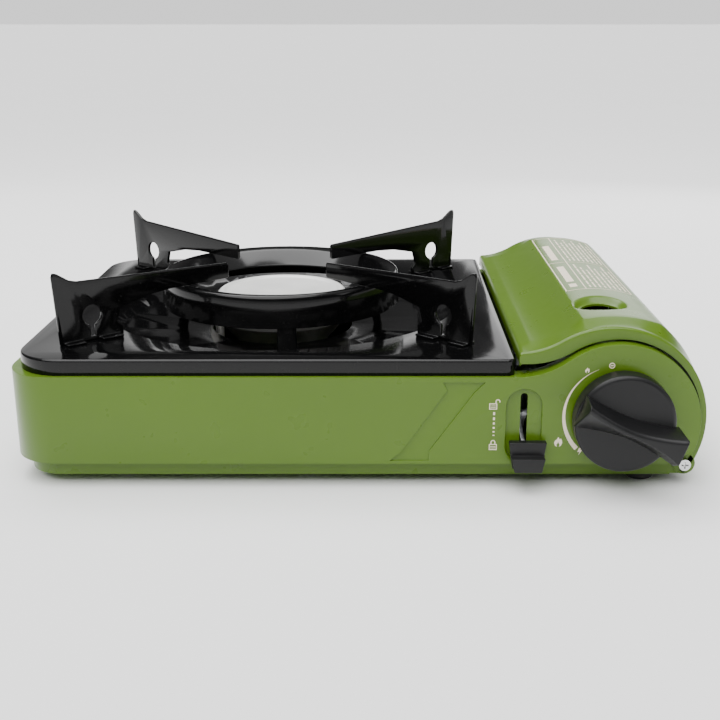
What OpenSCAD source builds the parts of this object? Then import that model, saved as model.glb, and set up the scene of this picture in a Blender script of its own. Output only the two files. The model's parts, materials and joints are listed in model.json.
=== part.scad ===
// Single-burner camping stove for a nozzle-type butane cartridge.
// +X is to the user's right, +Y is away from the user and +Z is up.
// The origin is under the middle of the stove, on the surface that it stands on.

/* [Overall] */
// Width from the left wall to the closed lid's right side
overall_w = 340; // [300:1:420]
// Depth of the body from front wall to rear wall
body_d = 237; // [230:1:300]
// Height of the deck that the drip tray rests on
deck_h = 57; // [52:0.5:68]
// Radius of the body's left corners, seen from above
corner_r = 24; // [8:1:40]
// Sheet thickness of the body shell
shell_t = 1.2; // [0.8:0.1:2]

/* [Base] */
// Height of a foot under the base pan
foot_h = 5; // [3:0.5:12]
// Diameter of a foot
foot_d = 14; // [10:0.5:24]
// Height of the base pan's skirt
pan_h = 8; // [5:0.5:14]
// How far the base pan is set in from the body walls
pan_inset = 6; // [3:0.5:12]
// Sheet thickness of the base pan
pan_t = 1; // [0.8:0.1:2]

/* [Drip tray] */
// Width of the drip tray
tray_w = 242; // [225:1:270]
// Depth of the drip tray
tray_d = 231; // [225:1:290]
// Height of the tray's skirt
tray_skirt = 8; // [5:0.5:14]
// Sheet thickness of the tray
tray_t = 1; // [0.8:0.1:2]
// Radius of the sunken bowl at the tray's surface
bowl_r = 100.5; // [85:0.5:108]
// Depth of the bowl at its middle hole
bowl_depth = 14; // [8:0.5:20]
// Gap between the burner's head and the edge of the bowl's middle hole
bowl_hole_gap = 3; // [2:0.5:12]

/* [Wind ring] */
// Outer radius of the ring around the burner
ring_r = 67; // [58:0.5:75]
// Height of the ring's band
ring_h = 17.5; // [8:0.5:24]
// Height of the ring's top above the tray
ring_top = 19; // [12:0.5:32]
// Sheet thickness of the ring
ring_t = 1.2; // [0.8:0.1:2]

/* [Pot supports] */
// Distance from the burner's axis to a support's outer edge
support_r = 137.5; // [130:0.5:150]
// Height of a support's outer tip above the tray
support_h = 37; // [30:0.5:50]
// Distance from the burner's axis to a support's inner end
support_inner_r = 36.5; // [25:0.5:50]
// Width of a support's foot
support_foot = 35; // [28:0.5:40]
// Sheet thickness of a support
support_t = 1.8; // [1.2:0.1:3]
// Angle of the supports from the side-to-side line
support_angle = 42.2; // [38:0.1:50]

/* [Burner] */
// Radius of the burner's head
burner_r = 37; // [30:0.5:40]
// Height of the burner's top above the tray
burner_rise = 7.5; // [4:0.5:12]
// Number of flame slots
port_count = 40; // [24:1:60]
// Outer radius of the mixing tube
tube_r = 8; // [6:0.5:8.5]

/* [Cartridge bay] */
// Diameter of the gas cartridge
cartridge_d = 67; // [60:0.5:70]
// Length of the gas cartridge's can
cartridge_l = 185; // [165:1:190]
// Radius of the inlet bore that takes the cartridge's nozzle
inlet_r = 2.4; // [2:0.1:3.5]
// Depth of the inlet bore
inlet_l = 9; // [6:0.5:12]

/* [Lid] */
// Outer radius of the lid's rim
lid_r = 47.5; // [44:0.5:52]
// Sheet thickness of the lid
lid_t = 1; // [0.8:0.1:2]
// How far each end of the lid is set in from the body's end walls
lid_inset = 5; // [3:0.5:9]
// Radius of the hollow curve at the lid's left side
cove_r = 40; // [30:1:50]
// How far the lid's left edge stands above the deck
lid_edge_rise = 10.8; // [6:0.1:12]
// Radius of the thumb hole
thumb_r = 10; // [7:0.5:12]

/* [Controls] */
// Diameter of the control knob
knob_d = 48; // [36:0.5:52]
// How far the knob stands out from the front wall
knob_out = 26; // [20:0.5:34]
// Width of the lock lever's cap
lever_cap_w = 18; // [12:0.5:22]
// Angle that the lock lever swings through
lever_swing = 22; // [14:0.5:24]

/* [Hidden] */

$fn = 64;
gap = 0.3;
eps = 0.01;

// Datum planes
left_x = -overall_w / 2;
right_x = overall_w / 2;
front_y = -(body_d + knob_out) / 2 + knob_out;
back_y = front_y + body_d;
pan_z = foot_h;
floor_z = pan_z + pan_t;
shell_z = pan_z + pan_h;
tray_z = deck_h + tray_skirt;

// Drip tray and burner
tray_edge_gap = 4;
tray_left = left_x + tray_edge_gap;
tray_right = tray_left + tray_w;
tray_front = front_y + (body_d - tray_d) / 2 - 0.5;
burner_x = tray_left + tray_w / 2;
burner_y = tray_front + tray_d / 2;
tray_corner_small = 4;
bowl_z = tray_z - bowl_depth;
bowl_hole_r = burner_r + bowl_hole_gap;
ledge_lap = 8;
burner_top = tray_z + burner_rise;
cap_h = 5;
port_h = 7;
cap_z = burner_top - cap_h;
port_z = cap_z - port_h;
burner_floor = floor_z + 2;
chamber_r = 22;
burner_wall = 2.5;
burner_screw_out = 13;
burner_screw_r = 1.6;

// Lid and bay
lid_front = front_y + lid_inset;
lid_back = back_y - lid_inset;
lid_x = right_x - lid_r;
lid_z = 33;
lid_left = tray_right + 2;
lid_bottom = 5.5;
lid_edge_h = deck_h + lid_edge_rise;
rim_drop = 5.6;
crown_r = 67;
crown_x = lid_x + 2;
crown_z = 15.4;
shoulder_r = lid_r + 9.5;
crease_x = lid_x - 21;
crown_inset = 13;
opening_r = lid_r - 6;
opening_x = lid_x + 3;
wall_r = opening_r - 1.2;
wall_cove_r = 40;
wall_return = 11;
hinge_x = right_x - 9.5;
hinge_z = 11;
ear_r = 5.5;
hinge_screw_r = 1.5;
hinge_hole_r = 1.58;
pan_right = hinge_x - ear_r - 0.8;
thumb_x = lid_x + 0.5;
thumb_y = lid_front + 40;
thumb_rim = 4;
thumb_z = lid_z + lid_r - 3.2;
ear_notch = 2.6;
leaf_w = 10;
leaf_l = 30;
leaf_t = 0.6;

// Cartridge and gas parts
cartridge_r = cartridge_d / 2;
cartridge_x = lid_x + 1.5;
cartridge_z = floor_z + 1 + cartridge_r;
pusher_travel = 5.8;
pusher_t = 2;
pusher_disc_r = 17;
pusher_back = back_y - shell_t - pusher_travel - 1.5;
rail_out = cartridge_r - 8;
rail_w = 5;
can_back = pusher_back - pusher_t - gap;
can_front = can_back - cartridge_l;
regulator_back = can_front - gap;
partition_x = cartridge_x - cartridge_r - 4;
partition_t = 1;
partition_front = front_y + 12;
partition_back = pusher_back - 14;
partition_h = deck_h + 1;
knob_x = lid_x + 4.5;
knob_z = 37.4;
regulator_d = 26;
drum_r = 19;
spigot_r = 13.8;
spigot_l = 3;
seal_r = inlet_r + 2.2;
seal_seat = 3;
seal_l = 2;
regulator_front = regulator_back - regulator_d;
cover_t = 5;
flange_r = 24.4;
valve_r = 8.5;
stem_r = 3;
stem_clear = 0.05;
cam_front = front_y + shell_t + 0.5;
cam_back = cam_front + 4.5;
cam_r = 6;
cam_lobe_r = 8;

// Jet and mixing tube, on one slanted line to the burner
jet_x = partition_x + 6;
jet_y = regulator_back - 5;
jet_z = floor_z + 12;
tube_angle = atan2(burner_y - jet_y, burner_x - jet_x);
tube_run = norm([burner_x - jet_x, burner_y - jet_y]);
tube_cross_y = jet_y + (partition_x - jet_x) * tan(tube_angle);
tube_wall = 1.5;
jet_gap = 4;
jet_r = 3;
jet_holder_r = 5;
jet_block = 12;
jet_block_x = jet_x + 3.5;

// Lock lever and pusher
lever_x = tray_right + 4.5;
lever_t = 2;
lever_pivot_y = front_y + 60.5;
lever_pivot_z = 36;
lever_rest = 14.2;
lever_reach = 60.5;
pivot_pin_r = 2;
pivot_clear = 0.05;
pivot_pin_end = lever_x - lever_t / 2 - 0.5;
horn_r = 15;
horn_pin_r = 1.4;
horn_play = 0.2;
bar_x = lever_x + lever_t / 2 + 0.8;
bar_t = 1.6;
bar_h = 7;
bar_z = lever_pivot_z + horn_r * cos(lever_swing / 2);
slot_w = 3.4;
slot_low = 16.5;
slot_high = 48.6;
recess_w = 17;
recess_depth = 2;
channel_depth = 0.9;
lever_cap_shift = 1.7;
recess_low = 13.8;
recess_top = 51;
lever_cap_h = 13.4;
lever_cap_z = 19;
lever_cap_out = 9;

// Knob
knob_base_h = 9;
knob_gap = 2;
knob_grip_w = 17;

knob_turn = -20;

// Feet and base screws
foot_side_in = 30;
foot_right_in = 19;
foot_end_in = 17;
foot_left_end_in = 30;
foot_neck_r = 3;
foot_places = [
    [left_x + foot_side_in, front_y + foot_left_end_in], [hinge_x - foot_right_in, front_y + foot_end_in],
    [left_x + foot_side_in, back_y - foot_left_end_in], [hinge_x - foot_right_in, back_y - foot_end_in]
];
base_screw_places = [
    for (x = [left_x + 55, burner_x + 20, partition_x - 8]) for (y = [front_y + 15, back_y - 15]) [x, y]
];

// Ring legs
ring_leg_w = 10;
ring_leg_angles = [-83, 37, 157];

// Igniter, electrode and the wire between them
igniter_l = 22;
igniter_h = 11;
igniter_x = knob_x - cam_lobe_r - 4 - igniter_l;
electrode_angle = 160;
electrode_r = burner_r + 4.1;
electrode_x = burner_x + electrode_r * cos(electrode_angle);
electrode_y = burner_y + electrode_r * sin(electrode_angle);
electrode_low = port_z - 22;
electrode_notch_r = 5;
electrode_rod_r = 0.9;
insulator_r = 2.6;
plunger_r = 1.8;
wire_r = 1.1;
wire_y = front_y + 9.5;
wire_z = floor_z + 4;
wire_route = [
    [igniter_x, wire_y, knob_z], [lever_x + 4.3, wire_y, knob_z], [lever_x + 4, wire_y, knob_z - 3],
    [lever_x + 4, wire_y, wire_z + 3], [lever_x + 1, wire_y + 0.4, wire_z],
    [burner_x + 80, wire_y + 3, wire_z], [burner_x + 25, wire_y + 20, wire_z],
    [burner_x - 25, wire_y + 50, wire_z], [electrode_x, electrode_y - 20, wire_z],
    [electrode_x, electrode_y - 3, wire_z + 1], [electrode_x, electrode_y, wire_z + 5],
    [electrode_x, electrode_y, electrode_low]
];

// ---------- shared shapes ----------

// Extrudes an outline drawn in X and Z from y0 to y1
module along_y(y0, y1) {
    translate([0, y1, 0]) rotate([90, 0, 0]) linear_extrude(y1 - y0) children();
}

// Extrudes an outline drawn in Y and Z from x0 to x1
module along_x(x0, x1) {
    translate([x0, 0, 0]) rotate([90, 0, 90]) linear_extrude(x1 - x0) children();
}

module rod_y(x, z, y0, y1, r) {
    translate([x, y1, z]) rotate([90, 0, 0]) cylinder(h = y1 - y0, r = r);
}

module rod_x(y, z, x0, x1, r) {
    translate([x0, y, z]) rotate([0, 90, 0]) cylinder(h = x1 - x0, r = r);
}

// Plan outline with round left corners and square right corners
module plan_left_round(x0, x1, y0, y1, r) {
    translate([x0 + r, y0]) square([x1 - x0 - r, y1 - y0]);
    translate([x0, y0 + r]) square([r + eps, y1 - y0 - 2 * r]);
    for (y = [y0 + r, y1 - r]) translate([x0 + r, y]) circle(r = r);
}

// Hump of radius r at (cx, cz) that runs out to the left in a hollow curve at height base
module hump(cx, cz, r, base, cove, x0, bottom) {
    cove_x = cx - sqrt(pow(r + cove, 2) - pow(base + cove - cz, 2));
    meet = r / (r + cove);
    meet_z = cz + (base + cove - cz) * meet;
    intersection() {
        translate([x0, bottom]) square([cx + r + 1 - x0, cz + r + 1 - bottom]);
        union() {
            translate([cx, cz]) circle(r = r, $fn = 128);
            difference() {
                translate([x0, bottom]) square([cx - x0, meet_z - bottom]);
                translate([cove_x, base + cove]) circle(r = cove, $fn = 128);
                translate([x0 - 1, base]) square([cove_x - x0 + 1, cove]);
            }
        }
    }
}

// Raised crown of the lid, shrunk by d
module crown(d) {
    intersection() {
        translate([crown_x, crown_z]) circle(r = crown_r - d, $fn = 128);
        translate([right_x - shoulder_r, lid_z]) circle(r = shoulder_r - d, $fn = 128);
        translate([crease_x + d, lid_z]) square([shoulder_r * 2, crown_r]);
    }
}

module lid_outline() {
    hump(lid_x, lid_z, lid_r, lid_edge_h, cove_r, lid_left, lid_bottom);
}

// Space under the lid's sheet, open at the free left edge and at the bottom
module lid_inside() {
    hump(lid_x, lid_z, lid_r - lid_t, lid_edge_h - lid_t, cove_r + lid_t, lid_left - 1, lid_bottom - lid_r);
}

// Outline of the mouth that the lid's end flanges leave
module lid_mouth() {
    hump(opening_x, lid_z, opening_r, lid_edge_h - rim_drop, cove_r, lid_left - 1, -lid_r);
}

// Outline of the body's end walls in the bay, shrunk by d
module end_wall_outline(d) {
    hump(opening_x, lid_z, wall_r - d, deck_h - d, wall_cove_r + d, left_x + corner_r, shell_z);
}

// ---------- body ----------

module lever_recess_outline(d) {
    low = recess_low + recess_w / 2;
    high = recess_top - recess_w / 2;
    for (z = [low, high]) translate([lever_x, z]) circle(r = recess_w / 2 - d);
    translate([lever_x - recess_w / 2 + d, low]) square([recess_w - 2 * d, high - low]);
}

module lever_slot() {
    for (z = [slot_low, slot_high - slot_w / 2]) translate([lever_x, z]) circle(r = slot_w / 2);
    translate([lever_x - slot_w / 2, slot_low]) square([slot_w, slot_high - slot_low - slot_w / 2]);
}

// Slanted channel pressed into the front wall
module front_channel() {
    band = 22;
    top_x = tray_right - 35.5;
    low_x = tray_right - 57;
    high = deck_h - 2.5;
    low = shell_z + 1.5;
    polygon([
        [top_x + 1, high], [top_x + 3, high - 4], [low_x + 3, low + 5], [low_x - 3, low],
        [low_x + band - 6, low], [low_x + band - 6, low + 5],
        [top_x + band - 6, high - 5], [top_x + band - 1, high]
    ]);
}

module body_shell() {
    color("olivedrab") difference() {
        union() {
            // left, front and rear walls up to the deck
            difference() {
                translate([0, 0, shell_z]) linear_extrude(deck_h - shell_z)
                    plan_left_round(left_x, lid_left + 8, front_y, back_y, corner_r);
                translate([0, 0, shell_z - 1]) linear_extrude(deck_h)
                    plan_left_round(left_x + shell_t, right_x, front_y + shell_t,
                        back_y - shell_t, corner_r - shell_t);
            }
            // inward ledge under the drip tray, and the flange that seats the base pan
            difference() {
                translate([0, 0, deck_h - shell_t]) linear_extrude(shell_t)
                    plan_left_round(left_x, lid_left - 1, front_y, back_y, corner_r);
                translate([0, 0, deck_h - 2 * shell_t]) linear_extrude(3 * shell_t)
                    plan_left_round(tray_left + ledge_lap, right_x, tray_front + ledge_lap,
                        tray_front + tray_d - ledge_lap, corner_r - ledge_lap);
            }
            difference() {
                translate([0, 0, shell_z]) linear_extrude(shell_t)
                    plan_left_round(left_x + eps, pan_right, front_y + eps, back_y - eps,
                        corner_r - eps);
                translate([0, 0, shell_z - 1]) linear_extrude(3 * shell_t)
                    plan_left_round(left_x + pan_inset, right_x, front_y + pan_inset,
                        back_y - pan_inset, corner_r - pan_inset);
            }
            // end walls of the cartridge bay with their curved returns under the lid
            end_wall(front_y, 1);
            end_wall(back_y, -1);
            // floor of the front wall's channel, and the lever's sunken panel
            along_y(front_y + shell_t - eps, front_y + channel_depth + shell_t) front_channel();
            along_y(front_y + recess_depth, front_y + recess_depth + shell_t)
                lever_recess_outline(0);
            along_y(front_y + eps, front_y + recess_depth + shell_t) difference() {
                lever_recess_outline(-shell_t);
                lever_recess_outline(0);
            }
        }
        along_y(front_y - 1, front_y + recess_depth) lever_recess_outline(0);
        along_y(front_y - 1, front_y + 8) lever_slot();
        along_y(front_y - 1, front_y + channel_depth) front_channel();
        // clearance for the valve stem and for the lid's hinge ears
        rod_y(knob_x, knob_z, front_y - 1, front_y + 4, stem_r + 1.5);
        for (y = [front_y - 1, back_y - wall_return - 1])
            rod_y(hinge_x, hinge_z, y, y + wall_return + 2, ear_r + 1.2);
    }
}

// One end wall: a flat face at y and a return that follows its edge inwards
module end_wall(y, side) {
    low = min(y, y + side * wall_return);
    difference() {
        along_y(low, low + wall_return) end_wall_outline(0);
        along_y(low + (side > 0 ? shell_t : -1), low + wall_return + (side > 0 ? 1 : -shell_t))
            translate([0, -shell_t]) end_wall_outline(shell_t);
        translate([left_x - 1, low - 1, 0]) cube([tray_right - left_x, wall_return + 2, 100]);
    }
}

module base_pan() {
    color("dimgray") difference() {
        union() {
            translate([0, 0, pan_z]) linear_extrude(pan_h + 2)
                plan_left_round(left_x + pan_inset, pan_right, front_y + pan_inset,
                    back_y - pan_inset, corner_r - pan_inset);
            for (y = [front_y + pan_inset, back_y - pan_inset - pan_t])
                rod_y(hinge_x, hinge_z, y, y + pan_t, ear_r);
            for (y = [front_y + pan_inset, back_y - pan_inset - pan_t])
                translate([pan_right - 1, y, hinge_z - ear_r])
                    cube([hinge_x - pan_right + 1, pan_t, 2 * ear_r]);
        }
        translate([0, 0, floor_z]) linear_extrude(pan_h + 3)
            plan_left_round(left_x + pan_inset + pan_t, pan_right - pan_t,
                front_y + pan_inset + pan_t, back_y - pan_inset - pan_t,
                corner_r - pan_inset - pan_t);
        for (y = [front_y, back_y - 12]) rod_y(hinge_x, hinge_z, y, y + 12, hinge_screw_r);
        for (p = foot_places) translate([p[0], p[1], 0]) cylinder(h = floor_z + 1, r = foot_neck_r);
        for (i = [0:5]) translate([left_x + 60 + i * 16, burner_y - 30, 0])
            cube([6, 60, floor_z + 1]);
    }
}

// Rubber foot with a neck through the pan and a bead above it
module foot(i) {
    color("black") translate([foot_places[i][0], foot_places[i][1], 0]) {
        cylinder(h = 1, r1 = foot_d / 2 - 1, r2 = foot_d / 2);
        translate([0, 0, 1]) cylinder(h = pan_z - 1, r = foot_d / 2);
        translate([0, 0, pan_z - eps]) cylinder(h = pan_t + 2 * eps, r = foot_neck_r);
        translate([0, 0, floor_z]) cylinder(h = 2, r = foot_neck_r + 1);
    }
}

// Pan-head screw with a cross recess; the head's underside is at the origin, shank along -Z
module pan_screw(r, l, head_r, head_h) {
    difference() {
        union() {
            translate([0, 0, -l]) cylinder(h = l + eps, r = r);
            cylinder(h = head_h, r = head_r);
        }
        for (a = [0, 90]) rotate(a) translate([-head_r * 0.6, -0.4, head_h * 0.45])
            cube([head_r * 1.2, 0.8, head_h]);
    }
}

module base_screws() {
    color("silver") for (p = base_screw_places) translate([p[0], p[1], pan_z])
        rotate([180, 0, 0]) difference() {
            cylinder(h = 1.8, r = 2.8);
            for (a = [0, 90]) rotate(a) translate([-1.7, -0.4, 0.9]) cube([3.4, 0.8, 2]);
        }
}

module bay_partition() {
    color("silver") difference() {
        union() {
            translate([partition_x, partition_front, floor_z])
                cube([partition_t, partition_back - partition_front, partition_h - floor_z]);
            translate([partition_x, partition_front, floor_z]) cube([8, partition_back - partition_front, 1]);
            translate([partition_x - 3, partition_front, partition_h - 1])
                cube([3 + partition_t, partition_back - partition_front, 1]);
        }
        // passage for the mixing tube, and louvres that keep the bay cool
        translate([partition_x - 5, tube_cross_y - 16, floor_z + 2])
            cube([10, 32, 22]);
        for (i = [0:7]) translate([partition_x - 1, burner_y - 40 + i * 12, floor_z + 16])
            cube([3, 6, 18]);
        rod_x(lever_pivot_y, lever_pivot_z, partition_x - 1, partition_x + 2, pivot_pin_r);
    }
}

// Two rails that cradle the cartridge
module cartridge_rails() {
    color("silver") difference() {
        for (s = [-1, 1]) translate([cartridge_x + s * rail_out - rail_w / 2, can_front + 6, floor_z])
            cube([rail_w, cartridge_l - 12, 11]);
        rod_y(cartridge_x, cartridge_z, can_front, can_back, cartridge_r + 0.6);
    }
}

// ---------- gas parts ----------

// Die-cast regulator: a drum behind the cartridge's collar with the inlet on the cartridge's axis
module regulator_body() {
    color("lightgray") difference() {
        union() {
            rod_y(cartridge_x, cartridge_z, regulator_front + cover_t, regulator_back, drum_r);
            translate([cartridge_x - 10, regulator_front + cover_t, floor_z])
                cube([20, regulator_d - cover_t - 4, cartridge_z - 15]);
            translate([jet_block_x, regulator_front + cover_t + 2, jet_z - jet_block / 2])
                cube([cartridge_x - 8 - jet_block_x, jet_block, jet_block]);
            rod_y(cartridge_x, cartridge_z, regulator_front + cover_t,
                regulator_front + cover_t + 3, flange_r);
        }
        rod_y(cartridge_x, cartridge_z, regulator_back - inlet_l, regulator_back + 1, inlet_r);
        rod_y(cartridge_x, cartridge_z, regulator_back - seal_seat, regulator_back + 1, seal_r);
        rod_y(cartridge_x, cartridge_z, regulator_front, regulator_front + cover_t + spigot_l + 3, spigot_r + 0.2);
        rod_line(-12, 5, jet_holder_r);
    }
}

// Round cover over the regulator's diaphragm
module regulator_cover() {
    color("gainsboro") difference() {
        union() {
            rod_y(cartridge_x, cartridge_z, regulator_front, regulator_front + cover_t, drum_r);
            rod_y(cartridge_x, cartridge_z, regulator_front + cover_t,
                regulator_front + cover_t + spigot_l, spigot_r);
        }
        rod_y(cartridge_x, cartridge_z + 12, regulator_front - 1, regulator_front + 2, 1);
    }
}

module regulator_screws() {
    color("silver") for (a = [40, 140, 220, 320]) translate([cartridge_x, 0, cartridge_z])
        rotate([0, a, 0]) translate([0, regulator_front + cover_t, 21.6]) rotate([90, 0, 0])
            difference() {
                cylinder(h = 2, r = 2.2);
                for (b = [0, 90]) rotate(b) translate([-1.3, -0.3, 1]) cube([2.6, 0.6, 2]);
            }
}

// Seal that the cartridge's nozzle presses on
module inlet_seal() {
    color("black") translate([cartridge_x, regulator_back - seal_seat + seal_l, cartridge_z])
        rotate([90, 0, 0]) difference() {
            cylinder(h = seal_l, r = seal_r);
            translate([0, 0, -1]) cylinder(h = seal_l + 2, r = inlet_r + 0.4);
        }
}

// Valve housing on the knob's axis, between the front wall and the regulator's cover
module valve_body() {
    color("goldenrod") difference() {
        union() {
            rod_y(knob_x, knob_z, cam_back + gap, regulator_front, valve_r);
            rod_y(knob_x, knob_z, regulator_front - 4, regulator_front, valve_r + 3);
        }
        rod_y(knob_x, knob_z, cam_back, regulator_front - 3, stem_r + stem_clear);
    }
}

// Places children on the slanted line from the jet to the burner, local +X towards the burner
module on_tube_line() {
    translate([jet_x, jet_y, jet_z]) rotate([0, 0, tube_angle]) children();
}

module rod_line(x0, x1, r) {
    on_tube_line() translate([x0, 0, 0]) rotate([0, 90, 0]) cylinder(h = x1 - x0, r = r);
}

module jet_holder() {
    color("goldenrod") difference() {
        rod_line(-12, -3, jet_holder_r);
        rod_line(-13, -2, 1.5);
    }
}

module jet_nozzle() {
    color("gold") difference() {
        union() {
            on_tube_line() translate([-3, 0, 0]) rotate([0, 90, 0]) rotate(30)
                cylinder(h = 4, r = jet_r, $fn = 6);
            rod_line(0.5, 3, 1.6);
        }
        rod_line(-4, 4, 0.5);
    }
}

module mixing_tube() {
    color("silver") difference() {
        union() {
            rod_line(jet_gap, tube_run - chamber_r + 1, tube_r);
            rod_line(jet_gap, jet_gap + 3, tube_r + 1.5);
        }
        rod_line(jet_gap + 2, tube_run, tube_r - tube_wall);
        rod_line(0, jet_gap + 3, 3.5);
        // air windows
        on_tube_line() for (a = [0, 90]) rotate([a, 0, 0])
            translate([jet_gap + 6, -2.5, -tube_r - 1]) cube([12, 5, 2 * tube_r + 2]);
    }
}

// Sleeve that trims the air windows
module air_shutter() {
    color("silver") difference() {
        rod_line(jet_gap + 12, jet_gap + 21, tube_r + 0.8);
        rod_line(jet_gap + 11, jet_gap + 22, tube_r);
    }
}

// ---------- burner ----------

module burner_bracket() {
    color("silver") difference() {
        union() {
            translate([burner_x - 30, burner_y - 9, floor_z]) cube([60, 18, 2]);
            for (s = [-1, 1]) translate([burner_x + s * 29 - 1, burner_y - 9, floor_z]) cube([2, 18, 3.4]);
        }
        for (s = [-1, 1]) translate([burner_x + s * burner_screw_out, burner_y, floor_z - 1])
            cylinder(h = 4, r = burner_screw_r);
    }
}

// Hollow burner body: a lower chamber that flares out under the port ring
module burner_base() {
    color("darkgray") translate([burner_x, burner_y, 0]) difference() {
        rotate_extrude($fn = 96) polygon([
            [0, burner_floor], [chamber_r, burner_floor], [chamber_r, bowl_z - 12],
            [burner_r, port_z - 4], [burner_r, port_z],
            [burner_r - burner_wall, port_z], [burner_r - burner_wall, port_z - 3],
            [chamber_r - burner_wall, bowl_z - 11], [chamber_r - burner_wall, burner_floor + burner_wall],
            [0, burner_floor + burner_wall]
        ]);
        translate([0, 0, jet_z]) rotate([0, 90, tube_angle + 180])
            cylinder(h = chamber_r + 2, r = tube_r + 0.1);
        for (s = [-1, 1]) translate([s * burner_screw_out, 0, burner_floor - 1])
            cylinder(h = 6, r = burner_screw_r);
    }
}

// Ring with the flame slots
module burner_port_ring() {
    color("tan") translate([burner_x, burner_y, port_z]) difference() {
        cylinder(h = port_h, r = burner_r, $fn = 96);
        translate([0, 0, -1]) cylinder(h = port_h + 2, r = burner_r - 3.5, $fn = 96);
        for (i = [0:port_count - 1]) rotate(i * 360 / port_count)
            translate([burner_r - 5, -0.8, port_h - 4]) cube([8, 1.6, 5]);
    }
}

// Cap with a skirt that locates in the port ring
module burner_cap() {
    color("whitesmoke") translate([burner_x, burner_y, 0]) rotate_extrude($fn = 96) polygon([
        [0, cap_z + 2], [burner_r - 6, cap_z + 2], [burner_r - 6, cap_z - 3], [burner_r - 3.6, cap_z - 3],
        [burner_r - 3.6, cap_z], [burner_r, cap_z], [burner_r, burner_top - 2], [burner_r - 2, burner_top],
        [0, burner_top]
    ]);
}

module burner_screws() {
    color("silver") for (s = [-1, 1])
        translate([burner_x + s * burner_screw_out, burner_y, burner_floor + burner_wall])
        pan_screw(burner_screw_r, burner_floor + burner_wall - floor_z, 2.8, 1.8);
}

module electrode_insulator() {
    color("white") difference() {
        union() {
            translate([electrode_x, electrode_y, electrode_low])
                cylinder(h = port_z - electrode_low, r = insulator_r);
            translate([electrode_x, electrode_y, port_z - 10]) cylinder(h = 3, r = insulator_r + 0.8);
        }
        translate([electrode_x, electrode_y, electrode_low - 1])
            cylinder(h = port_z - electrode_low + 2, r = electrode_rod_r);
    }
}

module electrode_rod() {
    color("silver") translate([electrode_x, electrode_y, 0]) {
        translate([0, 0, electrode_low]) cylinder(h = port_z + port_h - electrode_low, r = electrode_rod_r);
        translate([0, 0, port_z + port_h - electrode_rod_r]) rotate([0, -90, electrode_angle])
            cylinder(h = 2.4, r = 0.7);
    }
}

// Piezo block with its plunger towards the cam on the valve stem
module igniter_module() {
    color("darkred") {
        translate([igniter_x, front_y + shell_t + 0.4, knob_z - igniter_h / 2])
            cube([igniter_l, igniter_h, igniter_h]);
        rod_x(cam_front + 2.2, knob_z, igniter_x + igniter_l - eps, knob_x - cam_lobe_r - 0.5, plunger_r);
    }
}

// Direction of travel at point i of a route: the mean of the stretches on both sides
function heading(route, i) =
    let (n = len(route) - 1, a = i > 0 ? route[i] - route[i - 1] : [0, 0, 0],
        b = i < n ? route[i + 1] - route[i] : [0, 0, 0],
        v = (i > 0 ? a / norm(a) : a) + (i < n ? b / norm(b) : b))
    v / norm(v);

// Ring of points around a route's point, square to its heading
function wire_ring(route, i, r, sides) =
    let (t = heading(route, i), u0 = cross(t, [0.31, 0.23, 0.92]), u = u0 / norm(u0), w = cross(t, u))
    [for (k = [0:sides - 1]) route[i] + r * (cos(360 * k / sides) * u + sin(360 * k / sides) * w)];

// Closed tube of the given radius along a route
module tube_along(route, r, sides) {
    n = len(route);
    points = [for (i = [0:n - 1]) each wire_ring(route, i, r, sides)];
    ends = [[for (k = [0:sides - 1]) k], [for (k = [0:sides - 1]) n * sides - 1 - k]];
    walls = [for (i = [0:n - 2]) for (k = [0:sides - 1]) let (m = (k + 1) % sides) each [
        [i * sides + k, (i + 1) * sides + k, (i + 1) * sides + m],
        [i * sides + k, (i + 1) * sides + m, i * sides + m]
    ]];
    polyhedron(points, concat(ends, walls));
}

module ignition_wire() {
    color("dimgray") tube_along(wire_route, wire_r, 8);
}

// ---------- screws and pins of the moving parts ----------

module hinge_screw_front() {
    color("silver") translate([hinge_x, lid_front - gap, hinge_z]) rotate([90, 0, 0])
        pan_screw(hinge_screw_r, 8, 2.9, 2);
}

module hinge_screw_rear() {
    color("silver") translate([hinge_x, lid_back + gap, hinge_z]) rotate([-90, 0, 0])
        pan_screw(hinge_screw_r, 8, 2.9, 2);
}

module lever_pivot_pin() {
    color("silver") {
        rod_x(lever_pivot_y, lever_pivot_z, pivot_pin_end - eps, partition_x + partition_t, pivot_pin_r);
        rod_x(lever_pivot_y, lever_pivot_z, pivot_pin_end - 1.5, pivot_pin_end, pivot_pin_r + 1.5);
    }
}

// ---------- drip tray with ring and pot supports ----------

module tray_outline(d) {
    difference() {
        plan_left_round(tray_left + d, tray_right - d, tray_front + d, tray_front + tray_d - d, corner_r - d);
        for (y = [0, 1]) mirror([0, y, 0]) translate([tray_right - d - tray_corner_small,
            (y == 0 ? tray_front : -tray_front - tray_d) + d + tray_corner_small])
            difference() {
                translate([0, -tray_corner_small - 1]) square(tray_corner_small + 1);
                circle(r = tray_corner_small);
            }
    }
}

// Bowl sheet from the tray's surface down to the hole around the burner
module bowl(top_r) {
    rotate_extrude($fn = 96) polygon([
        [top_r, tray_z], [top_r - 3, tray_z - 1], [top_r - 7, tray_z - 4.5], [top_r - 14, bowl_z + 4],
        [ring_r - 10, bowl_z + 2], [bowl_hole_r, bowl_z], [bowl_hole_r, bowl_z - tray_t],
        [ring_r - 10, bowl_z + 2 - tray_t], [top_r - 14, bowl_z + 4 - tray_t],
        [top_r - 6.5, tray_z - 5.5 - tray_t * 0.4], [top_r, tray_z - 2 * tray_t]
    ]);
}

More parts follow.
